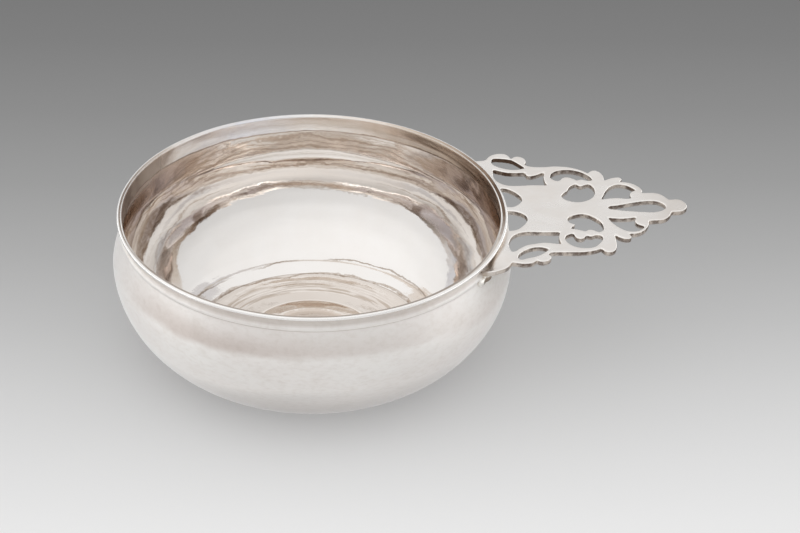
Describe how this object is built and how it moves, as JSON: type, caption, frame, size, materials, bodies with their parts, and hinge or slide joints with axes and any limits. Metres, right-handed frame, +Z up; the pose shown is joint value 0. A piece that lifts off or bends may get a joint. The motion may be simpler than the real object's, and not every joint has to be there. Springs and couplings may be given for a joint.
{
  "type": "porringer",
  "caption": "Shallow bulging silver bowl with a turned-out lip, a domed bottom and a flat pierced scroll handle soldered on below the lip.",
  "frame": {"origin": "on the table plane, midway along the whole length and on the middle line of the width; this point lies on the bowl's flat resting ring", "axes": "+Z up out of the bowl, +X from the bowl toward the tip of the handle, +Y to the left of someone who looks along +X"},
  "size_m": [0.1994, 0.1378, 0.053],
  "materials": {
    "bowl_silver": "softly polished, hand-raised silver sheet",
    "handle_silver": "softly polished cast silver",
    "solder": "dull silver solder with a little tarnish"
  },
  "bodies": {
    "root": {"bowl": "bowl_silver", "handle": "handle_silver", "solder_seam": "solder"}
  },
  "joints": []
}
